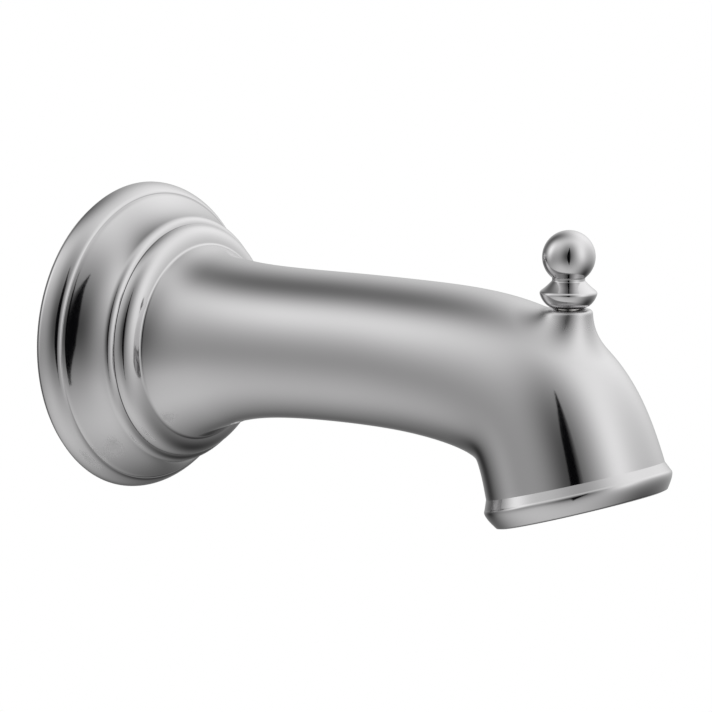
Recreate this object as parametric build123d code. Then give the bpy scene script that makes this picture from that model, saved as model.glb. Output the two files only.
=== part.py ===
from build123d import *
import os
from math import cos, exp, radians, sin, sqrt

os.makedirs("parts", exist_ok=True)

# Bath spout with a lift-up diverter, in millimetres. The wall is the plane X = 0 and the
# supply pipe lies on the X axis. +X points out over the bath and +Z points up.

# Supply pipe and the socket that slips over it
PIPE_R = 7.94
PIPE_CLEAR = 0.16
SOCKET_X = 24.5
SOCKET_WALL = 4.4
LEAD_IN = 1.0
COLLAR_RISE = 6.0
COLLAR_T = 3.0
SEAL_HALF = 1.2
SEAL_STANDS_IN = 0.1
GROOVE_RUN = 0.15
SEAL_LAND = 3.2
SEAL_PITCH = 8.5
STOP_LAND = 8.0

# Set screw that grips the pipe from below
SCREW_IN = 11.0
SCREW_R = 3.0
SCREW_LEN = 9.0
SCREW_CLEAR = 0.4
SCREW_CHAMFER = 0.5
SCREW_RIB_WALL = 2.5
HEX_FLATS = 3.0
HEX_DEPTH = 4.0
TIP_SHORT = 0.15

# Wall flange, from the rim inwards and from the wall outwards
FLANGE_R = 41.5
RIM_ROUND = 6.8
RIM_WIDE_X = 1.4
RIM_BACK = 0.9
RIM_LEN = 6.8
RIM_LAND = 2.6
COVE_LEN = 10.4
COVE_DROP = 6.3
COVE_SAG = 0.5
BEAD_LEN = 1.1
BEAD_DROP = 1.4
BEAD_ROLL = 0.4
OGEE_LEN = 4.6
OGEE_DROP = 5.2
OGEE_SAG = 1.3

# Body tube: its centre line leaves the flange, runs out and turns down to the mouth
WALL = 3.0
WATER_SPACE = 3.57
FLARE_LEN = 11.9
NOSE_SWELL = 3.33
SWELL_START = 0.52
SWELL_POWER = 1.2
RUN_RISE_DEG = 10.7
RUN_PULL = 20.1
SHOULDER_BACK = 16.4
SHOULDER_Z = 3.1
MOUTH_X = 140.9
MOUTH_Z = -24.6
MOUTH_DEG = 16.9
NOSE_PULL = 32.0
SECTIONS = 13

# Lip bead around the mouth
LIP_PROUD = 1.0
LIP_STEP = 0.06
LIP_UP = 2.75
LIP_DOWN = 3.75
LIP_SHOULDER = 0.7
LIP_EDGE = 0.4
LIP_ROUND = 2.0
MOUTH_CHAMFER = 0.6

# Diverter boss on the crown of the nose
STEM_BACK = 2.8
BOSS_RISE = 4.05
BOSS_R = 5.95
BOSS_EDGE = 0.6
BOSS_WAIST_R = 7.2
BOSS_WAIST_DROP = 4.2
BOSS_SKIRT_R = 10.5
BOSS_SKIRT_DROP = 6.4
BOSS_LEAN_DEG = 28.0
CUP_LAND = 1.1
CUP_DEPTH = 1.4
BOSS_LIP = 1.0
INNER_BOSS_WALL = 2.4
INNER_BOSS_DROP = 6.5

# Lift stem, its guide and its seal
STEM_R = 2.8
STEM_RUN = 0.08
STEM_CLEAR = 0.3
GUIDE_WALL = 1.5
SPIGOT_R = 2.0
SPIGOT_LEN = 8.0
BUTTON_NECK_R = 1.6
BUTTON_H = 1.8
PRESS = 0.02

# Lift knob, stacked from the boss upwards
KNOB_GAP = 0.55
KNOB_BASE_R = 4.5
KNOB_BOWL_H = 3.6
KNOB_BOWL_SAG = 0.4
KNOB_EDGE_R = 7.05
KNOB_EDGE = 0.4
KNOB_FLARE_H = 2.85
KNOB_FLARE_SAG = 0.1
KNOB_NECK_R = 4.0
KNOB_NECK_H = 0.7
KNOB_BALL_R = 6.45

# Diverter gate, the port it closes and its frame
PORT_DROP = 1.0
PORT_R = 4.8
PAD_LAP = 1.1
PAD_T = 1.5
PAD_PROUD = 0.3
PAD_RUN = 0.15
PAD_EDGE = 0.8
GATE_WEB = 1.4
GATE_T = 3.4
GATE_RUN = 0.25
GATE_CORNER = 1.0
PORT_CLEAR = 0.5
SLOT_RUN = 0.2
LUG_WALL = 1.6
LUG_FLOOR = 2.0
NECK_WEB = 3.2
FRAME_PLATE = 3.5
FRAME_RAIL = 2.2
FRAME_LIP = 1.5
FRAME_LEDGE = 2.5
FRAME_ABOVE = 0.7
SLEEVE_LEN = 9.5
SLEEVE_WALL = 2.2

# Waterway tube between the socket and the gate frame, and what carries it in the casting
WATER_R = 6.5
WATER_WALL = 2.5
STOP_WALL = 2.0
CONE_LEN = 10.0
FIT = 0.08
WEB_BACK = 31.8
WEB_T = 3.5
RIB_LEN = 17.0
RIB_T = 3.0

# Positions that follow from the sizes above
socket_r = PIPE_R + PIPE_CLEAR
socket_out_r = socket_r + SOCKET_WALL
collar_front_x = SOCKET_X + COLLAR_T
screw_x = SOCKET_X + SCREW_IN
groove_half = SEAL_HALF + GROOVE_RUN
rear_seal_x = screw_x + SCREW_R + SCREW_CLEAR + SEAL_LAND + groove_half
front_seal_x = rear_seal_x + SEAL_PITCH
stop_x = front_seal_x + groove_half + STOP_LAND
tube_out_r = WATER_R + WATER_WALL
waist_r = socket_out_r + WATER_SPACE + WALL
nose_r = waist_r + NOSE_SWELL
stem_x = MOUTH_X - STEM_BACK
web_x = MOUTH_X - WEB_BACK


def rod(x, r, z0, z1):
    """Upright cylinder on the line at x, between two heights."""
    return Pos(x, 0, (z0 + z1) / 2) * Cylinder(r, z1 - z0)


def bar(r, x0, x1, z=0.0):
    """Cylinder along X between two distances from the wall."""
    return Pos((x0 + x1) / 2, 0, z) * Rot(0, 90, 0) * Cylinder(r, x1 - x0)


def block(x0, x1, half_w, z0, z1):
    """Box centred on Y."""
    return Pos((x0 + x1) / 2, 0, (z0 + z1) / 2) * Box(x1 - x0, 2 * half_w, z1 - z0)


def turned_x(*edges):
    """Solid turned about the pipe axis from a closed outline of (X, radius)."""
    return revolve(Plane.XZ * make_face(edges), Axis.X)


def turned_z(*edges):
    """Solid turned about Z from a closed outline of (radius, height)."""
    return revolve(Plane.XZ * make_face(edges), Axis.Z)


def bow(start, end, sag):
    """Shallow curve between two points that bulges by sag to the left of its run."""
    a, b = Vector(*start), Vector(*end)
    left = Vector(a.Y - b.Y, b.X - a.X).normalized()
    return Bezier(a, (a + b) / 2 + 2 * sag * left, b)


# Wall flange: rounded rim, cove, bead and ogee
rim_centre = FLANGE_R - RIM_ROUND
rim_end = (RIM_LEN, rim_centre + sqrt(RIM_ROUND**2 - (RIM_LEN - RIM_WIDE_X) ** 2))
rim_sag = RIM_ROUND - sqrt(RIM_ROUND**2 - (RIM_LEN - RIM_WIDE_X) ** 2 / 4 - (FLANGE_R - rim_end[1]) ** 2 / 4)
bead = (RIM_LEN + COVE_LEN, rim_end[1] - COVE_DROP)
bead_foot = (bead[0] + BEAD_LEN, bead[1] - BEAD_DROP)
neck_x = bead_foot[0] + OGEE_LEN
neck_r = bead_foot[1] - OGEE_DROP
flange = turned_x(
    Polyline((0, 0), (0, FLANGE_R - RIM_BACK), (RIM_WIDE_X, FLANGE_R)),
    bow((RIM_WIDE_X, FLANGE_R), rim_end, rim_sag),
    bow(rim_end, bead, -COVE_SAG),
    Polyline(bead, (bead[0] + BEAD_LEN, bead[1] - BEAD_ROLL), bead_foot),
    bow(bead_foot, (neck_x, neck_r), OGEE_SAG),
    Polyline((neck_x, neck_r), (neck_x, 0), (0, 0)),
)
flange_hollow = turned_x(
    Polyline(
        (0, 0),
        (0, FLANGE_R - RIM_BACK - RIM_LAND),
        (RIM_LEN - WALL / 2, rim_end[1] - WALL),
        (bead[0] - WALL / 2, bead[1] - WALL),
        (neck_x - WALL / 2, neck_r - WALL),
        (neck_x, neck_r - WALL),
        (neck_x, 0),
        (0, 0),
    )
)

# Body tube: round sections across the centre line, flaring at the flange and at the nose
rise = radians(RUN_RISE_DEG)
tilt = radians(MOUTH_DEG)
mouth_centre = Vector(MOUTH_X, 0, MOUTH_Z)
outlet = Vector(sin(tilt), 0, -cos(tilt))
centre_line = Bezier(
    (neck_x, 0, 0),
    (neck_x + RUN_PULL * cos(rise), 0, RUN_PULL * sin(rise)),
    (MOUTH_X - SHOULDER_BACK, 0, SHOULDER_Z),
    mouth_centre - NOSE_PULL * outlet,
    mouth_centre,
)


def tube(shrink):
    """Body tube with the radius of every section less by shrink."""
    sections = []
    for k in range(SECTIONS):
        u = k / (SECTIONS - 1)
        flare = exp(-u * centre_line.length / FLARE_LEN)
        swell = max(0.0, (u - SWELL_START) / (1 - SWELL_START)) ** SWELL_POWER
        r = waist_r + (neck_r - waist_r) * flare + NOSE_SWELL * swell - shrink
        across = Vector(1, 0, 0) if k == 0 else centre_line % u
        sections.append(Plane(centre_line @ u, (0, 1, 0), across) * Circle(r))
    return loft(sections)


# Lip bead below the tube's end, turned about the mouth's own axis
mouth = Plane(mouth_centre, (0, 1, 0), outlet)
lip_r = nose_r + LIP_PROUD
lip_end = LIP_UP + LIP_DOWN
lip_shoulder = (lip_r - LIP_EDGE, LIP_UP - LIP_SHOULDER)
lip_low = (lip_r - LIP_EDGE, lip_end - LIP_ROUND)
lip = mouth * turned_z(
    Polyline((0, lip_end), (0, 0), (nose_r + LIP_STEP, 0)),
    bow((nose_r + LIP_STEP, 0), lip_shoulder, LIP_EDGE),
    bow(lip_shoulder, lip_low, -LIP_EDGE),
    bow(lip_low, (lip_r - LIP_ROUND, lip_end), -LIP_EDGE),
    Line((lip_r - LIP_ROUND, lip_end), (0, lip_end)),
)
bore_r = nose_r + LIP_STEP - WALL
mouth_bore = mouth * turned_z(
    Polyline(
        (0, 0),
        (bore_r, 0),
        (bore_r, lip_end - MOUTH_CHAMFER),
        (bore_r + MOUTH_CHAMFER, lip_end),
        (0, lip_end),
        (0, 0),
    )
)

# Diverter boss: a short turned neck whose flank spreads into the sloping crown of the nose
tube_outer = tube(0)
plumb = Axis((stem_x, 0, 0), (0, 0, 1))
crown_z = max(point.Z for point, _ in tube_outer.find_intersection_points(plumb))
boss_top = crown_z + BOSS_RISE
flank_top = boss_top - BOSS_EDGE


def flank_ring(r, drop, lean):
    """Circle on the boss's axis, a drop below its edge, leaning towards the mouth."""
    return Pos(stem_x, 0, flank_top - drop) * Rot(0, lean, 0) * Circle(r)


boss = Pos(stem_x, 0, 0) * turned_z(
    Polyline(
        (0, flank_top),
        (0, boss_top),
        (BOSS_R - BOSS_EDGE, boss_top),
        (BOSS_R, flank_top),
        (0, flank_top),
    )
)
boss += loft(
    [
        flank_ring(BOSS_R, 0, 0),
        flank_ring(BOSS_WAIST_R, BOSS_WAIST_DROP, BOSS_LEAN_DEG / 2),
        flank_ring(BOSS_SKIRT_R, BOSS_SKIRT_DROP, BOSS_LEAN_DEG),
    ]
)
stem_bore_r = STEM_R + STEM_RUN
guide_r = stem_bore_r + GUIDE_WALL
lip_bore_r = STEM_R + STEM_CLEAR
guide_bottom = crown_z - INNER_BOSS_DROP
pocket_top = boss_top - CUP_DEPTH - BOSS_LIP
guide_top = pocket_top - GUIDE_WALL
inner_boss = rod(stem_x, guide_r + INNER_BOSS_WALL, guide_bottom, boss_top)
stem_hole = Pos(stem_x, 0, 0) * turned_z(
    Polyline(
        (0, boss_top),
        (lip_bore_r + CUP_LAND, boss_top),
        (lip_bore_r, boss_top - CUP_DEPTH),
        (lip_bore_r, pocket_top),
        (guide_r + PRESS, pocket_top),
        (guide_r + PRESS, guide_bottom),
        (0, guide_bottom),
        (0, boss_top),
    )
)

# Casting: flange, tube, boss and lip in one piece, cored from the wall and from the mouth
outer = flange + tube_outer + boss + lip
rib_end = collar_front_x + RIB_LEN
screw_rib_half = SCREW_R + SCREW_RIB_WALL
cone_end = stop_x + STOP_WALL + CONE_LEN
ribs = block(collar_front_x, rib_end, RIB_T / 2, 0, FLANGE_R)
ribs += block(collar_front_x, rib_end, FLANGE_R, -RIB_T / 2, RIB_T / 2)
ribs += block(collar_front_x, rib_end, screw_rib_half, -FLANGE_R, 0)
web = block(web_x, web_x + WEB_T, FLANGE_R, -FLANGE_R, FLANGE_R)
spout_body = outer - flange_hollow - tube(WALL) - mouth_bore
spout_body += (ribs + web + inner_boss) & outer
spout_body -= bar(socket_out_r + FIT, SOCKET_X, cone_end)
spout_body -= bar(tube_out_r + FIT, web_x, web_x + WEB_T)
spout_body -= rod(screw_x, SCREW_R, -FLANGE_R, 0)
spout_body -= stem_hole

# Waterway: collar, pipe socket with two seal grooves, and a tube to the gate frame
pad_r = PORT_R + PAD_LAP
gate_half = pad_r + PAD_EDGE
head_slot = STEM_R + SLOT_RUN
gate_back_x = stem_x - head_slot - GATE_WEB - PAD_T + PAD_PROUD
seat_x = gate_back_x - PAD_PROUD - PAD_RUN
plate_x = seat_x - FRAME_PLATE
waterway = turned_x(
    Polyline(
        (SOCKET_X, socket_r + LEAD_IN),
        (SOCKET_X, socket_out_r + COLLAR_RISE),
        (collar_front_x, socket_out_r + COLLAR_RISE),
        (collar_front_x, socket_out_r),
        (stop_x + STOP_WALL, socket_out_r),
        (cone_end, tube_out_r),
        (plate_x, tube_out_r),
        (plate_x, WATER_R),
        (stop_x, WATER_R),
        (stop_x, socket_r),
        (SOCKET_X + LEAD_IN, socket_r),
        (SOCKET_X, socket_r + LEAD_IN),
    )
)
waterway -= rod(screw_x, SCREW_R + SCREW_CLEAR, -socket_out_r, 0)
seal_in_r = socket_r - SEAL_STANDS_IN
seal_out_r = seal_in_r + 2 * SEAL_HALF
for x in (rear_seal_x, front_seal_x):
    waterway -= bar(seal_out_r, x - groove_half, x + groove_half)
pipe_seal = bar(seal_out_r, -SEAL_HALF, SEAL_HALF) - bar(seal_in_r, -SEAL_HALF, SEAL_HALF)

# Set screw: hexagon socket below, point just short of the pipe bore
screw_tip = -socket_r - TIP_SHORT
set_screw = rod(screw_x, SCREW_R - FIT, screw_tip - SCREW_LEN, screw_tip)
set_screw = chamfer(set_screw.edges().filter_by(GeomType.CIRCLE), SCREW_CHAMFER)
hexagon = RegularPolygon(HEX_FLATS / 2, 6, major_radius=False)
set_screw -= Pos(screw_x, 0, screw_tip - SCREW_LEN) * extrude(hexagon, HEX_DEPTH)

# Gate at rest, below the port, and how far it lifts to cover the port
port_z = -PORT_DROP
gate_top = port_z - PORT_R - PORT_CLEAR
gate_bottom = gate_top - 2 * gate_half
gate_front_x = gate_back_x + GATE_T
travel = port_z + gate_half - gate_top
button_top = gate_top - NECK_WEB
button_bottom = button_top - BUTTON_H
lug_half = head_slot + LUG_WALL
lug_front = stem_x + head_slot + LUG_WALL
lug_bottom = button_bottom - SLOT_RUN - LUG_FLOOR
neck_slot = BUTTON_NECK_R + SLOT_RUN
gate_plate = block(gate_back_x, gate_front_x, gate_half, gate_bottom, gate_top)
diverter_gate = fillet(gate_plate.edges().filter_by(Axis.X), GATE_CORNER)
diverter_gate += block(gate_front_x, lug_front, lug_half, lug_bottom, gate_top)
for r, low, high in (
    (neck_slot, button_top, gate_top),
    (head_slot, button_bottom - SLOT_RUN, button_top),
):
    diverter_gate -= rod(stem_x, r, low, high) + block(stem_x, lug_front, r, low, high)
pad_x = seat_x + PAD_RUN
gate_seal = bar(pad_r, pad_x, pad_x + PAD_T, gate_top - gate_half)
diverter_gate -= bar(pad_r + PRESS, pad_x, pad_x + PAD_T, gate_top - gate_half)

# Gate frame: sleeve over the waterway's end, flat seat with the port, two rails and a ledge
rail_in = gate_half + GATE_RUN
frame_half = rail_in + FRAME_RAIL
frame_top = gate_top + travel + FRAME_ABOVE
frame_bottom = gate_bottom - FRAME_LEDGE
lip_x = gate_front_x + GATE_RUN
frame_front = lip_x + FRAME_LIP
sleeve_in = tube_out_r + FIT
gate_frame = block(plate_x, frame_front, frame_half, frame_bottom, frame_top)
gate_frame = fillet(gate_frame.edges().filter_by(Axis.X), FRAME_RAIL)
gate_frame -= block(seat_x, lip_x, rail_in, gate_bottom, frame_top)
gate_frame -= block(lip_x, frame_front, lug_half + GATE_RUN, gate_bottom, frame_top)
gate_frame += bar(sleeve_in + SLEEVE_WALL, plate_x - SLEEVE_LEN, plate_x)
gate_frame -= bar(sleeve_in, plate_x - SLEEVE_LEN, plate_x)
gate_frame -= bar(PORT_R, plate_x, seat_x, port_z)

# Lift stem: button, neck, polished rod and the spigot that enters the knob
knob_base = boss_top + KNOB_GAP
spigot_top = knob_base + SPIGOT_LEN
lift_stem = rod(stem_x, STEM_R, button_bottom, button_top)
lift_stem += rod(stem_x, BUTTON_NECK_R, button_top, gate_top)
lift_stem += rod(stem_x, STEM_R, gate_top, knob_base)
lift_stem += rod(stem_x, SPIGOT_R, knob_base, spigot_top)

# Stem guide and the ring seal above it, both held in the boss
stem_guide = rod(stem_x, guide_r, guide_bottom, guide_top)
stem_guide -= rod(stem_x, stem_bore_r, guide_bottom, guide_top)
stem_seal = rod(stem_x, guide_r, guide_top, pocket_top)
stem_seal -= rod(stem_x, stem_bore_r, guide_top, pocket_top)

# Lift knob: bowl, edge, hollow flare, short neck and ball
knob_edge = knob_base + KNOB_BOWL_H
knob_neck = knob_edge + KNOB_FLARE_H
ball_foot = knob_neck + KNOB_NECK_H
ball_z = ball_foot + sqrt(KNOB_BALL_R**2 - KNOB_NECK_R**2)
edge_low = (KNOB_EDGE_R - KNOB_EDGE / 4, knob_edge - KNOB_EDGE)
edge_high = (KNOB_EDGE_R - KNOB_EDGE, knob_edge + KNOB_EDGE)
lift_knob = Pos(stem_x, 0, 0) * turned_z(
    Polyline((0, ball_z + KNOB_BALL_R), (0, knob_base), (KNOB_BASE_R, knob_base)),
    bow((KNOB_BASE_R, knob_base), edge_low, -KNOB_BOWL_SAG),
    Bezier(edge_low, (KNOB_EDGE_R, knob_edge), edge_high),
    bow(edge_high, (KNOB_NECK_R, knob_neck), KNOB_FLARE_SAG),
    Line((KNOB_NECK_R, knob_neck), (KNOB_NECK_R, ball_foot)),
    ThreePointArc(
        (KNOB_NECK_R, ball_foot), (KNOB_BALL_R, ball_z), (0, ball_z + KNOB_BALL_R)
    ),
)
lift_knob -= rod(stem_x, SPIGOT_R + PRESS, knob_base, spigot_top)

nodes = {
    "spout_body": spout_body,
    "waterway": waterway,
    "rear_pipe_seal": Pos(rear_seal_x, 0, 0) * pipe_seal,
    "front_pipe_seal": Pos(front_seal_x, 0, 0) * pipe_seal,
    "set_screw": set_screw,
    "gate_frame": gate_frame,
    "diverter_gate": diverter_gate,
    "gate_seal": gate_seal,
    "lift_stem": lift_stem,
    "stem_guide": stem_guide,
    "stem_seal": stem_seal,
    "lift_knob": lift_knob,
}
for name, solid in nodes.items():
    export_step(solid, f"parts/{name}.step")
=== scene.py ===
from math import comb, cos, pi, radians, sin, sqrt, tan

import bmesh
import bpy
import numpy as np
from mathutils import Matrix, Vector


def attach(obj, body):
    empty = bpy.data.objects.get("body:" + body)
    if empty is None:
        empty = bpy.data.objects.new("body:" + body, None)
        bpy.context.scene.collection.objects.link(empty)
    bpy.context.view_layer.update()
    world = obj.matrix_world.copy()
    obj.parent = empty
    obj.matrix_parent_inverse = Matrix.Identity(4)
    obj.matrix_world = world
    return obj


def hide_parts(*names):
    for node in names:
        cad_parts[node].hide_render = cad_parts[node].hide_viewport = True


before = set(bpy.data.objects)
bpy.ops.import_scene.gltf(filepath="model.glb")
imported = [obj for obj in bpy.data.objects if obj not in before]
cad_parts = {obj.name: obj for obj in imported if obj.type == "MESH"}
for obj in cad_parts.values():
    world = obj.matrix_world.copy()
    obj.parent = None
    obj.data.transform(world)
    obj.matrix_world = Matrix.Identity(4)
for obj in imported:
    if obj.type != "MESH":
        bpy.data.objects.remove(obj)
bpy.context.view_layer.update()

# Sizes are in millimetres, in the part's own frame: the wall at x = 0, +X out from it, +Z up
MM = 0.001

# Wall flange: rim, fine step and band, cove, roll, groove and ogee
FLANGE_R, RIM_ROUND, RIM_WIDE_X, RIM_BACK = 41.5, 6.8, 1.4, 0.9
RIM_LEN, RIM_LAND, RIM_FLAT = 6.8, 2.6, 0.6
RIM_TURN_BACK, RIM_TURN_RISE = 0.6, 0.77
STEP_LEN, STEP_DROP, BAND_LEN, BAND_DROP, BAND_SAG = 0.06, 0.35, 0.95, 0.95, 0.03
COVE_LEN, COVE_DROP = 10.4, 6.3
BEAD_LEN, BEAD_DROP, ROLL_LEN, ROLL_DROP = 1.1, 1.4, 2.1, 2.0
GROOVE_LEAN, GROOVE_WIDE, GROOVE_DEEP = 0.02, 0.2, 0.5
OGEE_LEN, OGEE_DROP, OGEE_EASE, OGEE_RINGS = 4.6, 5.2, 0.55, 12
# Angles in degrees at which the flange's curves leave and arrive
RIM_FALL, RIM_EDGE_FALL = (5.0, 41.0), (41.0, 62.0)
COVE_FALL, ROLL_FALL, OGEE_FALL = (41.5, 11.0), (11.0, 74.0), (7.0, 78.0)
FLANGE_EASES = (0.3, 0.02, 0.02, 0.06, 0.06, 0.15, 0.02, 0.04, 0.04, 0.04, 0.05)

# Tube and nose
WALL = 3.0
WAIST_R, FLARE_LEN = 19.07, 11.9
NOSE_SWELL, SWELL_START, SWELL_POWER, SWELL_EASE = 3.2, 0.52, 1.2, 0.15
RUN_RISE, RUN_PULL = radians(10.7), 20.1
SHOULDER_BACK, SHOULDER_Z = 16.4, 3.1
MOUTH_X, MOUTH_Z, MOUTH_TILT, NOSE_PULL = 140.9, -24.6, radians(16.9), 32.0
# The heading is level at the flange, and follows the centre line from a twelfth of the length
LEVEL_PARTS = 12
FLARE_SHARE, FLARE_RINGS, FLARE_CROWD = 0.3, 48, 1.35
TUBE_RINGS, INNER_RINGS = 90, 36

# Mouth's lip and bore
LIP_R, LIP_STEP, LIP_LEN, LIP_UP, LIP_TURN = 23.4, -0.04, 6.5, 0.8, radians(1.0)
LIP_FOOT, LIP_FLARE, LIP_SHOULDER, LIP_SHOULDER_PULL = 1.4, 1.4, 0.25, 0.35
LIP_WIDE, LIP_PULL, LIP_ROUND, LIP_CONE = 2.1, 1.2, 2.1, 0.3
MOUTH_BORE_R, MOUTH_CHAMFER = 19.46, 0.6
LIP_EASES = (0.1, 0.05, 0.25, 0.1, 0.15)

# Boss on the nose, and its guide inside
STEM_X = MOUTH_X - 2.8
BOSS_RISE, BOSS_R, BOSS_EDGE, BACK_EDGE = 4.05, 5.95, 1.0, 0.5
BOSS_SPREAD, BOSS_DRAFT, BACK_SPREAD, BACK_DRAFT = 4.6, 0.3, 3.0, 1.8
EDGE_STEPS, FLANK_STEPS, SKIRT, SINK = 9, 28, 1.2, 0.012
SLOPE_STEP = 0.2
CUP_R, CUP_BORE_R, CUP_DEPTH, CUP_BORE_LEN, CUP_EASE = 4.2, 3.1, 1.4, 1.0, 0.12
INNER_BOSS_R, INNER_BOSS_DROP, INNER_BOSS_H, INNER_SIDE_H = 6.78, 6.5, 4.0, 1.6
INNER_SHOULDER, INNER_SHOULDER_H, GUIDE_BORE_R = 1.2, 3.2, 4.4

# Lift knob and stem
STEM_R, SPIGOT_R, SPIGOT_LEN, STEM_EASE = 2.8, 2.0, 8.0, 0.1
GATE_TOP, BUTTON_TOP, BUTTON_BOTTOM, BUTTON_NECK_R = -6.3, -9.5, -11.3, 1.6
KNOB_GAP, KNOB_BASE_R, KNOB_BOWL_H, KNOB_BOWL_SAG = 0.55, 4.5, 3.6, 0.4
KNOB_EDGE_R, KNOB_EDGE, KNOB_FLARE_H, KNOB_FLARE_SAG = 7.05, 0.4, 2.85, 0.1
KNOB_NECK_R, KNOB_NECK_H, KNOB_BALL_R = 4.0, 0.7, 6.45
KNOB_EASES = (0.14, 0.1, 0.1, 0.14, 0.14)
# Small openings at the axis, as a radius and as an angle at the ball's pole, closed by a fan
AXIS_GAP, POLE_GAP = 0.2, 0.01

# Ribs, web and set screw's hole
COLLAR_X, RIB_LEN, RIB_T, RIB_OUT = 27.5, 17.0, 3.0, 18.0
SCREW_RIB_W, SCREW_RIB_OUT = 11.0, 17.0
SOCKET_OUT_R, SCREW_X, SCREW_R = 12.58, 35.5, 3.0
DRILL_LOW, DRILL_HIGH, DRILL_SKIP = -40.0, -10.0, 6
WEB_X, WEB_T, WEB_BORE_R, WEB_LET_IN = 109.1, 3.5, 9.08, 1.0

# Fineness: points around a ring, points of the centre line, and shares of the body near the nose
AROUND, LINE_POINTS = 192, 3001
NOSE_SHARE, NOSE_POINTS = 0.45, 1200
TURNS = np.linspace(0, 2 * pi, AROUND, endpoint=False)
TURN_COS, TURN_SIN = np.cos(TURNS), np.sin(TURNS)
# An eased corner leaves at least this share of each curve, and no point this near its end
KEPT_SHARE, TINY = 0.55, 1e-6
# Angles in degrees above which an edge stays sharp
SHARP, CASTING_SHARP = 40, 14


# Curves
def blend(a, m, b, t):
    """Points at shares t of the quadratic curve with ends a and b and handle m."""
    return (1 - t) ** 2 * a + 2 * t * (1 - t) * m + t * t * b


def quad(a, m, b, count):
    """A number of points of the quadratic curve with ends a and b and handle m."""
    return blend(np.array(a), np.array(m), np.array(b), np.linspace(0, 1, count)[:, None])


def bow(a, b, sag, count):
    """Shallow curve from a to b that bulges by sag to the left of its run."""
    a, b = np.array(a, float), np.array(b, float)
    run = b - a
    left = np.array([-run[1], run[0]]) / np.hypot(*run)
    return quad(a, (a + b) / 2 + 2 * sag * left, b, count)


def fall(a, b, angles, count):
    """Curve from a to b that leaves and arrives falling at two angles in degrees."""
    leave, arrive = (np.array([cos(radians(k)), -sin(radians(k))]) for k in angles)
    pull = np.linalg.solve(np.c_[leave, arrive], np.subtract(b, a))[0]
    return quad(a, a + pull * leave, b, count)


def straights(points, counts):
    """Straight runs from each point to the next, each with its own number of points."""
    return [np.linspace(a, b, count) for a, b, count in zip(points, points[1:], counts)]


def distances(curve):
    """Distance of each point of a curve from its start, along it."""
    return np.r_[0, np.cumsum(np.hypot(*np.diff(curve, axis=0).T))]


def points_at(distance, known, curve):
    """Points of a curve at distances along it."""
    return np.stack([np.interp(distance, known, curve[:, k]) for k in (0, 1)], axis=-1)


def trimmed(curve, cut):
    """The curve with a length of cut taken off its end."""
    known = distances(curve)
    end = max(known[-1] - cut, known[-1] * KEPT_SHARE)
    return np.vstack([curve[known < end - TINY], points_at(end, known, curve)])


def joined(curves, eases, count=5):
    """One outline from curves that meet end to end, each corner rounded by its own ease."""
    outline = [curves[0]]
    for curve, ease in zip(curves[1:], eases):
        before = trimmed(outline[-1], ease)
        after = trimmed(curve[::-1], ease)[::-1]
        outline[-1] = before
        outline.append(quad(before[-1], curve[0], after[0], count)[1:-1])
        outline.append(after)
    return np.vstack(outline)


# Corners of the flange's outline, as (X, radius)
rim_centre = FLANGE_R - RIM_ROUND
rim_rise = sqrt(RIM_ROUND**2 - (RIM_LEN - RIM_WIDE_X) ** 2)
rim_back = (0, FLANGE_R - RIM_BACK)
rim_wide = (RIM_WIDE_X, FLANGE_R)
rim_start = (RIM_WIDE_X + RIM_FLAT, FLANGE_R)
rim_end = np.array([RIM_LEN, rim_centre + rim_rise])
rim_turn = rim_end + [-RIM_TURN_BACK, RIM_TURN_RISE]
step_foot = rim_end + [STEP_LEN, -STEP_DROP]
band_end = rim_end + [BAND_LEN, -BAND_DROP]
bead = rim_end + [COVE_LEN, -COVE_DROP]
bead_foot = bead + [BEAD_LEN, -BEAD_DROP]
roll = bead_foot + [-ROLL_LEN, ROLL_DROP]
groove_near = bead_foot + [GROOVE_LEAN, -GROOVE_DEEP]
groove_far = bead_foot + [GROOVE_WIDE, -GROOVE_DEEP]
groove_top = bead_foot + [GROOVE_WIDE, 0]
neck = bead_foot + [OGEE_LEN, -OGEE_DROP]

# Centre line of the body, as (X, Z), with its heading
mouth = np.array([MOUTH_X, MOUTH_Z])
outlet = np.array([sin(MOUTH_TILT), -cos(MOUTH_TILT)])
handles = np.array(
    [
        (neck[0], 0),
        (neck[0] + RUN_PULL * cos(RUN_RISE), RUN_PULL * sin(RUN_RISE)),
        (MOUTH_X - SHOULDER_BACK, SHOULDER_Z),
        mouth - NOSE_PULL * outlet,
        mouth,
    ]
)
DEGREE = len(handles) - 1
line_t = np.linspace(0, 1, LINE_POINTS)[:, None]
line = sum(
    comb(DEGREE, k) * (1 - line_t) ** (DEGREE - k) * line_t**k * handles[k]
    for k in range(DEGREE + 1)
)
line_along = distances(line)
length = line_along[-1]
heading = np.gradient(line, axis=0)
heading /= np.hypot(*heading.T)[:, None]


def body_at(u):
    """Centre, heading and outer radius of the body at shares u of its length."""
    u = np.asarray(u, float)
    s = u * length
    centre = points_at(s, line_along, line)
    eased = np.clip(u * LEVEL_PARTS, 0, 1)[:, None]
    eased = eased * eased * (3 - 2 * eased)
    way = (1 - eased) * np.array([1.0, 0.0]) + eased * points_at(s, line_along, heading)
    way /= np.hypot(*way.T)[:, None]
    past = (u - SWELL_START) / (1 - SWELL_START)
    swell = (past + np.hypot(past, SWELL_EASE)) / (1 + np.hypot(1, SWELL_EASE))
    flare = (neck[1] - WAIST_R) * np.exp(-s / FLARE_LEN)
    return centre, way, WAIST_R + flare + NOSE_SWELL * swell**SWELL_POWER


# Rings of points
def rings(centre, way, r):
    """Circles of points about the centres, square to their headings."""
    across, up = r[:, None] * TURN_COS, way[:, :1] * r[:, None] * TURN_SIN
    x = centre[:, :1] - way[:, 1:] * r[:, None] * TURN_SIN
    return np.stack([x, across, centre[:, 1:] + up], axis=2)


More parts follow.
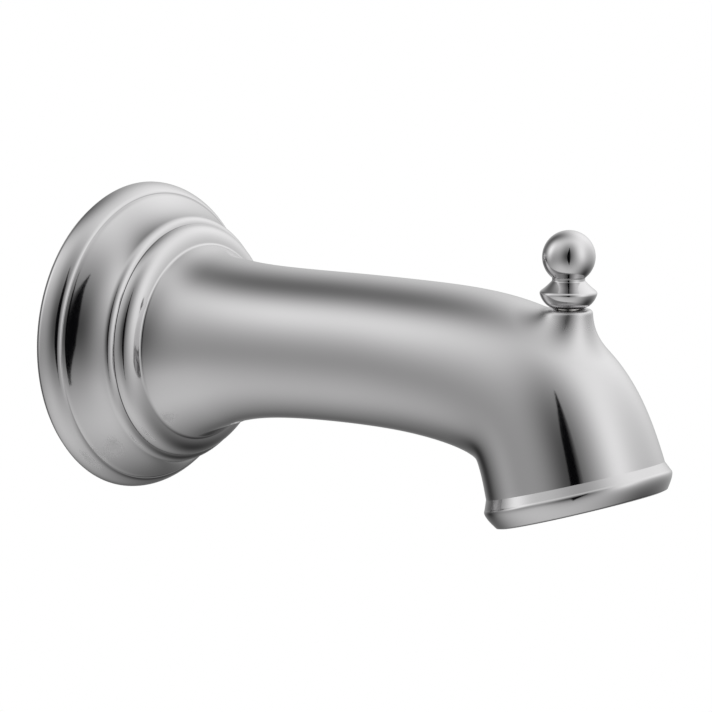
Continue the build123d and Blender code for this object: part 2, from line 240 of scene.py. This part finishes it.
def turned_x(outline):
    """Rings about the pipe axis from (X, radius)."""
    flat = np.c_[outline[:, 0], 0 * outline[:, 0]]
    return rings(flat, np.tile([1.0, 0.0], (len(outline), 1)), outline[:, 1])


def turned_mouth(outline):
    """Rings about the mouth's axis from (radius, distance past its plane), less tilted above."""
    tilt = MOUTH_TILT - LIP_TURN * (1 - outline[:, 1] / LIP_LEN)
    way = np.c_[np.sin(tilt), -np.cos(tilt)]
    return rings(mouth + outline[:, 1:] * outlet, way, outline[:, 0])


def turned_z(outline, x):
    """Rings about the upright line at x from (radius, height)."""
    r, z = outline[:, :1], outline[:, 1:]
    return np.stack([x + r * TURN_COS, r * TURN_SIN, z + 0 * TURNS], axis=2)


def axis_ring(x, d):
    """Ring about the pipe axis at x, at a distance for each turn."""
    return np.c_[np.full(AROUND, x), d * TURN_COS, d * TURN_SIN]


def boss_ring(d, z):
    """Ring about the stem at a distance and a height for each turn."""
    return np.c_[STEM_X + d * TURN_COS, d * TURN_SIN, z + 0 * TURNS]


# Meshes
def grid(points, loop=False):
    """Vertices and quads of a sheet of closed rings, closed end to end if loop."""
    n, m = points.shape[:2]
    k = np.arange(n if loop else n - 1)[:, None] * m
    j = np.arange(m)[None, :]
    right = (j + 1) % m
    up = (k + m) % (n * m)
    faces = np.stack([k + j, k + right, up + right, up + j], axis=2).reshape(-1, 4)
    return points.reshape(-1, 3), faces


def capped(points):
    """A sheet of rings whose first and last rings are closed by a fan."""
    verts, faces = grid(points)
    n, m = points.shape[:2]
    centres = [points[0].mean(axis=0), points[-1].mean(axis=0)]
    j = np.arange(m)
    right = (j + 1) % m
    low = np.c_[right, j, np.full(m, n * m)]
    high = np.c_[(n - 1) * m + j, (n - 1) * m + right, np.full(m, n * m + 1)]
    return np.vstack([verts, centres]), [*map(tuple, faces), *map(tuple, low), *map(tuple, high)]


def box(x0, x1, y0, y1, z0, z1):
    """Vertices and quads of a plain block."""
    corners = np.array([(x, y, z) for x in (x0, x1) for y in (y0, y1) for z in (z0, z1)])
    quads = [(0, 1, 3, 2), (4, 6, 7, 5), (0, 4, 5, 1), (2, 3, 7, 6), (0, 2, 6, 4), (1, 5, 7, 3)]
    return corners, quads


def new_mesh(name, points, faces, sharp=SHARP):
    """Mesh with outward normals, smooth except at edges above the sharp angle."""
    mesh = bpy.data.meshes.new(name)
    mesh.from_pydata(np.asarray(points).tolist(), [], [tuple(map(int, face)) for face in faces])
    work = bmesh.new()
    work.from_mesh(mesh)
    bmesh.ops.recalc_face_normals(work, faces=work.faces[:])
    for face in work.faces:
        face.smooth = True
    for edge in work.edges:
        if len(edge.link_faces) == 2 and edge.calc_face_angle() > radians(sharp):
            edge.smooth = False
    work.to_mesh(mesh)
    work.free()
    return mesh


def new_object(name, data):
    """Object in the scene with the data given."""
    made = bpy.data.objects.new(name, data)
    bpy.context.scene.collection.objects.link(made)
    return made


def new_piece(name, shells, body, replaced, sharp=SHARP):
    """Object from several (vertices, faces) shells that stands for a CAD node."""
    verts, faces, base = [], [], 0
    for points, shell_faces in shells:
        verts.append(np.asarray(points) * MM)
        faces += [[k + base for k in face] for face in shell_faces]
        base += len(points)
    piece = new_object(name, new_mesh(name, np.vstack(verts), faces, sharp))
    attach(piece, body)
    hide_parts(replaced)
    return piece


# Casting: flange, tube, lip and bore as one closed sheet of rings
flange_outline = joined(
    [
        *straights([rim_back, rim_wide, rim_start], (4, 3)),
        fall(rim_start, rim_turn, RIM_FALL, 18),
        fall(rim_turn, rim_end, RIM_EDGE_FALL, 8),
        *straights([rim_end, step_foot], (4,)),
        bow(step_foot, band_end, BAND_SAG, 6),
        fall(band_end, roll, COVE_FALL, 28),
        fall(roll, bead_foot, ROLL_FALL, 18),
        *straights([bead_foot, groove_near, groove_far, groove_top], (3, 3, 3)),
        fall(groove_top, neck, OGEE_FALL, 22),
    ],
    FLANGE_EASES,
)
flange_rings = turned_x(trimmed(flange_outline, OGEE_EASE))
tube_start = OGEE_EASE / length
flare_steps = np.linspace(0, 1, FLARE_RINGS) ** FLARE_CROWD
flare_shares = tube_start + (FLARE_SHARE - tube_start) * flare_steps
tube_shares = np.linspace(FLARE_SHARE, 1 - LIP_FOOT / length, TUBE_RINGS)[1:]
tube_rings = rings(*body_at(np.r_[flare_shares, tube_shares]))
ogee_t = np.linspace(0, 1, OGEE_RINGS)[1:-1, None, None]
ogee_foot = blend(flange_rings[-1], turned_x(neck[None])[0], tube_rings[0], ogee_t)

lip_top = (WAIST_R + NOSE_SWELL + LIP_STEP, -LIP_UP)
lip_flare = (LIP_R - LIP_SHOULDER, LIP_FLARE)
lip_wide = (LIP_R, LIP_WIDE)
lip_low = (LIP_R - LIP_ROUND, LIP_LEN - LIP_CONE)
bore_edge = (MOUTH_BORE_R + MOUTH_CHAMFER, LIP_LEN)
bore_start = (MOUTH_BORE_R, LIP_LEN - MOUTH_CHAMFER)
lip_outline = joined(
    [
        *straights([lip_top, lip_flare], (12,)),
        quad(lip_flare, (LIP_R, LIP_FLARE + LIP_SHOULDER_PULL), lip_wide, 10),
        quad(lip_wide, (LIP_R, LIP_WIDE + LIP_PULL), lip_low, 24),
        *straights([lip_low, bore_edge, bore_start, (MOUTH_BORE_R, 0)], (8, 3, 4)),
    ],
    LIP_EASES,
)
inner_centre, inner_way, inner_r = body_at(np.linspace(1, 0, INNER_RINGS)[1:])
hollow_outline = np.array(
    [
        (neck[0] - WALL / 2, neck[1] - WALL),
        (bead[0] - WALL / 2, bead[1] - WALL),
        (RIM_LEN - WALL / 2, rim_end[1] - WALL),
        (0, FLANGE_R - RIM_BACK - RIM_LAND),
    ]
)
casting = np.vstack(
    [
        flange_rings,
        ogee_foot,
        tube_rings,
        turned_mouth(lip_outline),
        rings(inner_centre, inner_way, inner_r - WALL),
        turned_x(hollow_outline),
    ]
)

# Boss: each radial section is a curve from the boss's edge that ends tangent to the body
nose_c, nose_w, nose_r = body_at(np.linspace(NOSE_SHARE, 1, NOSE_POINTS))


def crown(x, y):
    """Height of the body's upper surface over a point."""
    half = np.sqrt(np.maximum(nose_r**2 - y * y, 0))
    return np.interp(x, nose_c[:, 0] - nose_w[:, 1] * half, nose_c[:, 1] + nose_w[:, 0] * half)


def body_under(d):
    """Height of the body at a distance from the stem, for each turn about it."""
    x, y = STEM_X + d * TURN_COS, d * TURN_SIN
    return np.array([crown(*at) for at in zip(x, y)])


def boss_sheet(ends, steps):
    """Rings of a curved sheet about the stem from three (distance, height) lines."""
    ds, zs = zip(*ends)
    return np.array(
        [boss_ring(blend(*ds, t), blend(*zs, t)) for t in np.linspace(0, 1, steps + 1)]
    )


boss_top = crown(STEM_X, 0) + BOSS_RISE
backness = (1 - TURN_COS) / 2
flank_d = BOSS_R + BOSS_SPREAD + BACK_SPREAD * backness
flank_z = body_under(flank_d)
flank_rise = body_under(flank_d + SLOPE_STEP) - body_under(flank_d - SLOPE_STEP)
corner_d = BOSS_R + BOSS_DRAFT + BACK_DRAFT * backness
corner_z = flank_z - flank_rise / (2 * SLOPE_STEP) * (flank_d - corner_d)
edge_d = BOSS_R - BACK_EDGE * backness
edge_parts = np.hypot(corner_d - edge_d, corner_z - boss_top) / BOSS_EDGE
start_d = edge_d + (corner_d - edge_d) / edge_parts
start_z = boss_top + (corner_z - boss_top) / edge_parts
cup_foot = boss_top - CUP_DEPTH
edge_start = (BOSS_R - BOSS_EDGE, boss_top)
cup_outline = joined(
    straights(
        [
            (CUP_BORE_R, cup_foot - CUP_BORE_LEN),
            (CUP_BORE_R, cup_foot),
            (CUP_R, boss_top),
            edge_start,
        ],
        (3, 4, 4),
    ),
    (CUP_EASE, CUP_EASE),
)
boss = np.vstack(
    [
        turned_z(cup_outline, STEM_X)[:-1],
        boss_sheet([edge_start, (edge_d, boss_top), (start_d, start_z)], EDGE_STEPS)[:-1],
        boss_sheet([(start_d, start_z), (corner_d, corner_z), (flank_d, flank_z)], FLANK_STEPS),
        boss_ring(flank_d + SKIRT, body_under(flank_d + SKIRT) - SINK)[None],
    ]
)
boss_foot = boss_top - BOSS_RISE - INNER_BOSS_DROP
inner_boss = turned_z(
    np.array(
        [
            (CUP_BORE_R, boss_foot + INNER_BOSS_H),
            (INNER_BOSS_R - INNER_SHOULDER, boss_foot + INNER_SHOULDER_H),
            (INNER_BOSS_R, boss_foot + INNER_SIDE_H),
            (INNER_BOSS_R, boss_foot),
            (GUIDE_BORE_R, boss_foot),
        ]
    ),
    STEM_X,
)

# Ribs in the wall end of the casting, which the waterway's collar rests on
RIB_SIDES = (
    (-RIB_T / 2, RIB_T / 2, SOCKET_OUT_R, RIB_OUT),
    (SOCKET_OUT_R, RIB_OUT, -RIB_T / 2, RIB_T / 2),
    (-RIB_OUT, -SOCKET_OUT_R, -RIB_T / 2, RIB_T / 2),
    (-SCREW_RIB_W / 2, SCREW_RIB_W / 2, -SCREW_RIB_OUT, -SOCKET_OUT_R),
)
*plain_ribs, screw_rib = [box(COLLAR_X, COLLAR_X + RIB_LEN, *sides) for sides in RIB_SIDES]


# Web that carries the front of the waterway, let into the wall
def wall_reach(x, into, farthest=40.0, halvings=24):
    """Distance from the pipe axis to a depth into the wall at x, for each turn about the axis."""
    inside, outside = np.zeros(AROUND), np.full(AROUND, farthest)
    for _ in range(halvings):
        middle = (inside + outside) / 2
        y, z = middle * TURN_COS, middle * TURN_SIN
        off = (x - nose_c[:, 0]) * nose_w[:, 0] + (z[:, None] - nose_c[:, 1]) * nose_w[:, 1]
        k = np.abs(off).argmin(axis=1)
        rise = (z - nose_c[k, 1]) * nose_w[k, 0] - (x - nose_c[k, 0]) * nose_w[k, 1]
        within = np.hypot(y, rise) < nose_r[k] - WALL + into
        inside, outside = np.where(within, middle, inside), np.where(within, outside, middle)
    return inside


web_front = WEB_X + WEB_T
web = np.array(
    [
        axis_ring(WEB_X, WEB_BORE_R),
        axis_ring(WEB_X, wall_reach(WEB_X, WEB_LET_IN)),
        axis_ring(web_front, wall_reach(web_front, WEB_LET_IN)),
        axis_ring(web_front, WEB_BORE_R),
    ]
)


# Hole for the set screw, drilled from below through the wall and its rib
def drilled(points, faces):
    """A closed shell with the set screw's hole cut through its underside."""
    hole_outline = np.array([(SCREW_R, DRILL_LOW), (SCREW_R, DRILL_HIGH)])
    hole = capped(turned_z(hole_outline, SCREW_X)[:, ::DRILL_SKIP])
    blank = new_object("blank", new_mesh("blank", points, faces))
    drill = new_object("drill", new_mesh("drill", *hole))
    cut = blank.modifiers.new("hole", "BOOLEAN")
    cut.operation, cut.solver, cut.object = "DIFFERENCE", "EXACT", drill
    result = blank.evaluated_get(bpy.context.evaluated_depsgraph_get()).to_mesh()
    made = [tuple(v.co) for v in result.vertices], [tuple(f.vertices) for f in result.polygons]
    for scrap in (blank, drill):
        scrap_mesh = scrap.data
        bpy.data.objects.remove(scrap)
        bpy.data.meshes.remove(scrap_mesh)
    return made


spout_body = new_piece(
    "spout_body_casting",
    [
        drilled(*grid(casting, loop=True)),
        *plain_ribs,
        drilled(*screw_rib),
        grid(web, loop=True),
        grid(boss),
        grid(inner_boss),
    ],
    "spout",
    "spout_body",
    sharp=CASTING_SHARP,
)

# Lift knob: bowl, edge, hollow flare, short neck and ball
knob_base = boss_top + KNOB_GAP
knob_edge = knob_base + KNOB_BOWL_H
knob_neck = knob_edge + KNOB_FLARE_H
ball_foot = knob_neck + KNOB_NECK_H
ball_z = ball_foot + sqrt(KNOB_BALL_R**2 - KNOB_NECK_R**2)
edge_low = (KNOB_EDGE_R - KNOB_EDGE / 4, knob_edge - KNOB_EDGE)
edge_high = (KNOB_EDGE_R - KNOB_EDGE, knob_edge + KNOB_EDGE)
foot_angle = np.arctan2(ball_foot - ball_z, KNOB_NECK_R)
ball_turn = np.linspace(foot_angle, pi / 2 - POLE_GAP, 60)
knob_outline = joined(
    [
        *straights([(SPIGOT_R, knob_base), (KNOB_BASE_R, knob_base)], (4,)),
        bow((KNOB_BASE_R, knob_base), edge_low, -KNOB_BOWL_SAG, 18),
        quad(edge_low, (KNOB_EDGE_R, knob_edge), edge_high, 8),
        bow(edge_high, (KNOB_NECK_R, knob_neck), KNOB_FLARE_SAG, 18),
        *straights([(KNOB_NECK_R, knob_neck), (KNOB_NECK_R, ball_foot)], (5,)),
        np.c_[KNOB_BALL_R * np.cos(ball_turn), ball_z + KNOB_BALL_R * np.sin(ball_turn)],
    ],
    KNOB_EASES,
)
knob_shell = capped(turned_z(knob_outline, STEM_X))
lift_knob = new_piece("lift_knob_turned", [knob_shell], "diverter", "lift_knob")

# Lift stem: button, neck, polished rod and spigot
spigot_top = knob_base + SPIGOT_LEN
stem_corners = [
    (AXIS_GAP, BUTTON_BOTTOM),
    (STEM_R, BUTTON_BOTTOM),
    (STEM_R, BUTTON_TOP),
    (BUTTON_NECK_R, BUTTON_TOP),
    (BUTTON_NECK_R, GATE_TOP),
    (STEM_R, GATE_TOP),
    (STEM_R, knob_base),
    (SPIGOT_R, knob_base),
    (SPIGOT_R, spigot_top),
    (AXIS_GAP, spigot_top),
]
stem_runs = straights(stem_corners, (3, 3, 3, 3, 3, 8, 3, 4, 3))
stem_outline = joined(stem_runs, (STEM_EASE,) * (len(stem_runs) - 1))
stem_shell = capped(turned_z(stem_outline, STEM_X))
lift_stem = new_piece("lift_stem_turned", [stem_shell], "diverter", "lift_stem")


# Nodes of the materials and of the world
def feed(tree, socket, value):
    """Gives a socket its value, or links another node's output to it."""
    if isinstance(value, bpy.types.NodeSocket):
        tree.links.new(value, socket)
    else:
        socket.default_value = value


def operate(tree, kind, operation, *values):
    """Adds a node that works on numbers, vectors or other nodes' outputs."""
    made = tree.nodes.new(kind)
    made.operation = operation
    for socket, value in zip(made.inputs, values):
        feed(tree, socket, value)
    return made


def number(tree, operation, *values):
    """The result of an operation on numbers."""
    return operate(tree, "ShaderNodeMath", operation, *values).outputs[0]


def vector(tree, operation, *values):
    """The node of an operation on vectors."""
    return operate(tree, "ShaderNodeVectorMath", operation, *values)


def map_range(tree, value, source, target, run="LINEAR"):
    """Maps a value from a source range to a target range."""
    made = tree.nodes.new("ShaderNodeMapRange")
    made.interpolation_type = run
    limits = zip(("From Min", "From Max", "To Min", "To Max"), (*source, *target))
    for socket, limit in limits:
        made.inputs[socket].default_value = limit
    feed(tree, made.inputs["Value"], value)
    return made.outputs["Result"]


def node_material(name):
    """A new material, its node tree, its shader and the object's own position in metres."""
    made = bpy.data.materials.new(name)
    made.use_nodes = True
    tree = made.node_tree
    place = tree.nodes.new("ShaderNodeTexCoord").outputs["Object"]
    return made, tree, tree.nodes["Principled BSDF"], place


# Materials: noise scales are in cycles per metre, and heights of bumps in metres
NOISE_RANGE, NOISE_ROUGH = (0.3, 0.7), 0.55
CLOUD_SCALE, POLISH_DETAIL, GRIT_FINER, GRIT_HEIGHT = 90.0, 4.0, 4, 0.00002
MOULD_CLOUD, MOULD_SHEEN, MOULD_SKIN = 160.0, 900.0, 3000.0
SHEEN_SPREAD, SKIN_HEIGHT, SKIN_STRENGTH = 0.06, 0.0001, 0.15


def noise(tree, place, scale, detail=3.0):
    """Noise over the object."""
    texture = tree.nodes.new("ShaderNodeTexNoise")
    texture.inputs["Scale"].default_value = scale
    texture.inputs["Detail"].default_value = detail
    texture.inputs["Roughness"].default_value = NOISE_ROUGH
    feed(tree, texture.inputs["Vector"], place)
    return texture.outputs["Fac"]


def tint(tree, value, first, second):
    """Blends two colours by a noise value."""
    made = tree.nodes.new("ShaderNodeMix")
    made.data_type = "RGBA"
    made.inputs["A"].default_value = (*first, 1)
    made.inputs["B"].default_value = (*second, 1)
    feed(tree, made.inputs["Factor"], value)
    return made.outputs["Result"]


def bump(tree, value, height, strength):
    """Normal of a surface that a noise value raises."""
    made = tree.nodes.new("ShaderNodeBump")
    made.inputs["Distance"].default_value = height
    made.inputs["Strength"].default_value = strength
    feed(tree, made.inputs["Height"], value)
    return made.outputs["Normal"]


def near(tree, place, centre, inner, outer, amount):
    """An amount that fades out between two distances in millimetres from a centre."""
    away = vector(tree, "DISTANCE", place, [k * MM for k in centre]).outputs["Value"]
    return map_range(tree, away, (inner * MM, outer * MM), (amount, 0), "SMOOTHSTEP")


def metal(name, colour, shade, rough_range, grain, dull=None, grit=0.02):
    """Metal with faint clouding and fine grain in its polish, duller in one place if given."""
    made, tree, shader, place = node_material(name)
    polish = noise(tree, place, grain, POLISH_DETAIL)
    rough = map_range(tree, polish, NOISE_RANGE, rough_range)
    if dull:
        rough = number(tree, "ADD", rough, near(tree, place, *dull))
    fine_grit = noise(tree, place, grain * GRIT_FINER)
    cloud = tint(tree, noise(tree, place, CLOUD_SCALE), colour, shade)
    feed(tree, shader.inputs["Metallic"], 1.0)
    feed(tree, shader.inputs["Base Color"], cloud)
    feed(tree, shader.inputs["Roughness"], rough)
    feed(tree, shader.inputs["Normal"], bump(tree, fine_grit, GRIT_HEIGHT, grit))
    return made


def moulded(name, colour, shade, rough):
    """Moulded plastic or rubber with a fine matt skin."""
    made, tree, shader, place = node_material(name)
    rough_range = (rough - SHEEN_SPREAD, rough + SHEEN_SPREAD)
    sheen = map_range(tree, noise(tree, place, MOULD_SHEEN), NOISE_RANGE, rough_range)
    skin = noise(tree, place, MOULD_SKIN)
    cloud = tint(tree, noise(tree, place, MOULD_CLOUD), colour, shade)
    feed(tree, shader.inputs["Base Color"], cloud)
    feed(tree, shader.inputs["Roughness"], sheen)
    feed(tree, shader.inputs["Normal"], bump(tree, skin, SKIN_HEIGHT, SKIN_STRENGTH))
    return made


# The plating is duller about the boss: a centre, two distances and the roughness added there
DULL_DROP, DULL_NEAR, DULL_FAR, DULL_ROUGH = 2, 6.5, 11.0, 0.2
boss_dull = ((STEM_X, 0, boss_top - DULL_DROP), DULL_NEAR, DULL_FAR, DULL_ROUGH)
satin = metal(
    "satin_metal", (0.605, 0.60, 0.605), (0.59, 0.585, 0.59), (0.07, 0.09), 1200.0, boss_dull
)
bright = metal("bright_metal", (0.63, 0.625, 0.63), (0.615, 0.61, 0.615), (0.05, 0.07), 1500.0)
raw = metal("raw_casting", (0.46, 0.46, 0.47), (0.36, 0.36, 0.37), (0.42, 0.58), 700.0, grit=0.5)
steel = metal("steel", (0.56, 0.55, 0.54), (0.50, 0.49, 0.48), (0.14, 0.2), 2500.0)
pale = moulded("pale_plastic", (0.80, 0.79, 0.75), (0.76, 0.75, 0.71), 0.45)
dark = moulded("dark_plastic", (0.045, 0.045, 0.05), (0.06, 0.06, 0.065), 0.5)
rubber = moulded("seal_rubber", (0.012, 0.012, 0.012), (0.02, 0.02, 0.02), 0.62)

for piece, look in ((spout_body, satin), (lift_knob, bright), (lift_stem, steel)):
    piece.data.materials.append(look)
NODE_LOOKS = {
    "set_screw": steel,
    "waterway": pale,
    "diverter_gate": pale,
    "gate_frame": dark,
    "stem_guide": dark,
    "rear_pipe_seal": rubber,
    "front_pipe_seal": rubber,
    "stem_seal": rubber,
    "gate_seal": rubber,
}
for node_name, look in NODE_LOOKS.items():
    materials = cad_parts[node_name].data.materials
    materials.clear()
    materials.append(look)

# The casting is plated outside, and left raw inside the flange and from the mouth's bore inwards.
# Faces are measured against one in LINE_SKIP of the centre line's points
LINE_SKIP, FACING_LEAST, BACK_LEAST = 10, 0.02, 0.05


def raw_faces(mesh):
    """Whether each face of the casting looks inwards and lies on its inner side."""
    spot = np.array([face.center for face in mesh.polygons]) / MM
    facing = np.array([face.normal for face in mesh.polygons])
    coarse = line[::LINE_SKIP]
    nearest = np.array([np.hypot(*(coarse - (x, z)).T).argmin() for x, _, z in spot])
    in_flange = spot[:, 0] < neck[0]
    on_axis = np.c_[spot[:, 0], 0 * spot[:, 0]]
    on_line = np.where(in_flange[:, None], on_axis, coarse[nearest])
    inward = np.c_[on_line[:, 0], 0 * on_line[:, 0], on_line[:, 1]] - spot
    radius = np.linalg.norm(inward, axis=1)
    outer_r = body_at(line_along[nearest * LINE_SKIP] / length)[2]
    within = np.where(in_flange, spot[:, 0] > BACK_LEAST, radius < outer_r - WALL / 2)
    return within & ((inward * facing).sum(axis=1) > FACING_LEAST * radius)


spout_body.data.materials.append(raw)
raw_slots = raw_faces(spout_body.data).astype(np.int32)
spout_body.data.polygons.foreach_set("material_index", raw_slots)

# Camera at the photograph's viewing point
SENSOR, FOCAL_PX, PHOTO_PX = 36.0, 2800, 712
BACK = Vector((0.59828, -0.78678, 0.15178)).normalized()
RIGHT = Vector((0.79600, 0.60529, 0.0)).normalized()
UP = BACK.cross(RIGHT).normalized()
EYE = Vector((503.16, -564.83, 109.66)) * MM
camera_data = bpy.data.cameras.new("camera")
camera_data.sensor_width = SENSOR
camera_data.lens = SENSOR * FOCAL_PX / PHOTO_PX
camera = new_object("camera", camera_data)
camera_turn = Matrix((RIGHT, UP, BACK)).transposed().to_4x4()
camera.matrix_world = Matrix.Translation(EYE) @ camera_turn
bpy.context.scene.camera = camera

# Studio, in metres: a light tent with brighter and darker panels, a dark slot and a pale floor
CENTRE = Vector((80, 0, 0)) * MM
FACING = np.arctan2(BACK.y, BACK.x)
TENT_R, TENT_SEGMENTS, TENT_RINGS = 2.5, 96, 48
TENT_LEVEL, TENT_LEAST = 0.74, 0.02
# Panels: azimuth, elevation, width and height in degrees, and the strength added
PANELS = (
    (-98, 19, 14, 18, 0.70),
    (-69, 46, 30, 24, 0.17),
    (54, 14, 19, 24, 0.46),
    (145, 31, 30, 34, 0.48),
    (101, 44, 30, 26, 0.26),
    (-8, 12, 31, 36, -0.61),
    (-144, 43, 26, 34, -0.62),
    (116, -43, 36, 28, -0.63),
    (-166, -30, 48, 18, -0.32),
    (-91, -11, 42, 30, -0.25),
    (0, 78, 38, 17, 0.28),
    (-39, -36, 20, 15, 0.13),
    (-35, -64, 40, 18, 0.16),
    (165, -68, 30, 22, -0.10),
    (-141, -22, 14, 18, -0.15),
)
# Slot: elevation, and the azimuths of its left and right edges, in degrees
SLOT = (
    (46, 0, 1),
    (36, -3, 3),
    (22, -8, 5.5),
    (10, -10, 6.5),
    (-4, -9.5, 5),
    (-13, -6.5, 3),
    (-22, -3, 0),
    (-30, -1, 0),
)
SLOT_DISTANCE, SLOT_SOFT, SLOT_COLOUR = 1.6, (0.02, 0.2), (0.004, 0.004, 0.005, 1)
FLOOR_Z, FLOOR_R, FLOOR_FADE, FLOOR_SEGMENTS = -1.9, 0.4, 0.1, 96
FLOOR_COLOUR, FLOOR_ROUGH = (0.92, 0.92, 0.92, 1), 0.9


def towards(azimuth, elevation):
    """Unit vector at an azimuth to the right of the front and an elevation, in degrees."""
    a, e = FACING + radians(azimuth), radians(elevation)
    return Vector((cos(a) * cos(e), sin(a) * cos(e), sin(e)))


def shape_mesh(name, create, **sizes):
    """Mesh of one of Blender's own shapes."""
    work = bmesh.new()
    create(work, **sizes)
    mesh = bpy.data.meshes.new(name)
    work.to_mesh(mesh)
    work.free()
    return mesh


def stage_object(name, mesh, look):
    """Adds an object of the studio, which isn't part of the model."""
    made = new_object(name, mesh)
    mesh.materials.append(look)
    return made


def tent_material():
    """Light of the tent: a plain level, with soft panels added to it or taken from it."""
    made, tree, shader, place = node_material("tent_light")
    tree.nodes.remove(shader)
    unit = vector(tree, "NORMALIZE", place).outputs[0]

    def dot(axis):
        """How far the direction lies along an axis."""
        return vector(tree, "DOT_PRODUCT", unit, axis).outputs["Value"]

    level = TENT_LEVEL
    for azimuth, elevation, wide, high, strength in PANELS:
        middle, side = towards(azimuth, elevation), towards(azimuth + 90, 0)
        broad, narrow = max(wide, high), min(wide, high)
        across = dot(side if wide < high else middle.cross(side))
        squared = number(tree, "MULTIPLY", across, across)
        power = number(tree, "MULTIPLY", squared, -0.5 / radians(narrow) ** 2)
        away = number(tree, "SUBTRACT", dot(middle), 1.0)
        power = number(tree, "MULTIPLY_ADD", away, 1 / radians(broad) ** 2, power)
        level = number(tree, "MULTIPLY_ADD", number(tree, "EXPONENT", power), strength, level)
    light = tree.nodes.new("ShaderNodeEmission")
    feed(tree, light.inputs["Strength"], number(tree, "MAXIMUM", level, TENT_LEAST))
    feed(tree, tree.nodes["Material Output"].inputs["Surface"], light.outputs[0])
    return made


def slot_material():
    """Dull black, crisp on the slot's left edge and fading out towards its right."""
    made, tree, shader, place = node_material("slot_black")
    shader.inputs["Base Color"].default_value = SLOT_COLOUR
    shader.inputs["Roughness"].default_value = 1.0
    shader.inputs["Specular IOR Level"].default_value = 0.0
    parts = tree.nodes.new("ShaderNodeSeparateXYZ")
    feed(tree, parts.inputs[0], place)
    feed(tree, shader.inputs["Alpha"], map_range(tree, parts.outputs["X"], SLOT_SOFT, (1, 0)))
    return made


def floor_material():
    """Plain pale floor that fades out towards its edge."""
    made, tree, shader, place = node_material("pale_floor")
    shader.inputs["Base Color"].default_value = FLOOR_COLOUR
    shader.inputs["Roughness"].default_value = FLOOR_ROUGH
    away = vector(tree, "LENGTH", place).outputs["Value"]
    fade = map_range(tree, away, (FLOOR_FADE, FLOOR_R), (1, 0), "SMOOTHSTEP")
    feed(tree, shader.inputs["Alpha"], fade)
    return made


def slot_point(azimuth, elevation):
    """Point of the slot's card, in its own plane."""
    return (SLOT_DISTANCE * tan(radians(azimuth)), SLOT_DISTANCE * tan(radians(elevation)), 0)


tent_mesh = shape_mesh(
    "light_tent",
    bmesh.ops.create_uvsphere,
    u_segments=TENT_SEGMENTS,
    v_segments=TENT_RINGS,
    radius=TENT_R,
)
tent = stage_object("light_tent", tent_mesh, tent_material())
tent.location = CENTRE
tent.visible_camera = False

slot_edge = [slot_point(left, rise) for rise, left, right in SLOT]
slot_edge += [slot_point(right, rise) for rise, left, right in reversed(SLOT)]
slot_mesh = bpy.data.meshes.new("tent_slot")
slot_mesh.from_pydata(slot_edge, [], [tuple(range(len(slot_edge)))])
slot_card = stage_object("tent_slot", slot_mesh, slot_material())
slot_ahead = towards(0, 0)
slot_turn = Matrix((towards(90, 0), (0, 0, 1), slot_ahead)).transposed().to_4x4()
slot_card.matrix_world = Matrix.Translation(CENTRE + slot_ahead * SLOT_DISTANCE) @ slot_turn
slot_card.visible_camera = False

floor_mesh = shape_mesh(
    "floor",
    bmesh.ops.create_circle,
    cap_ends=True,
    segments=FLOOR_SEGMENTS,
    radius=FLOOR_R,
)
floor = stage_object("floor", floor_mesh, floor_material())
floor.location = CENTRE + Vector((0, 0, FLOOR_Z))

# World: white to the camera and in reflections, a plain level for the rest
WORLD_LEVEL = 0.7
world = bpy.data.worlds.new("studio")
bpy.context.scene.world = world
world.use_nodes = True
sky = world.node_tree
rays = sky.nodes.new("ShaderNodeLightPath").outputs
seen = rays["Is Camera Ray"]
for ray in ("Is Glossy Ray", "Is Transmission Ray"):
    seen = number(sky, "MAXIMUM", seen, rays[ray])
background = sky.nodes["Background"].inputs
background["Color"].default_value = (1, 1, 1, 1)
feed(sky, background["Strength"], map_range(sky, seen, (0, 1), (WORLD_LEVEL, 1)))

bpy.context.scene.view_settings.view_transform = "Standard"
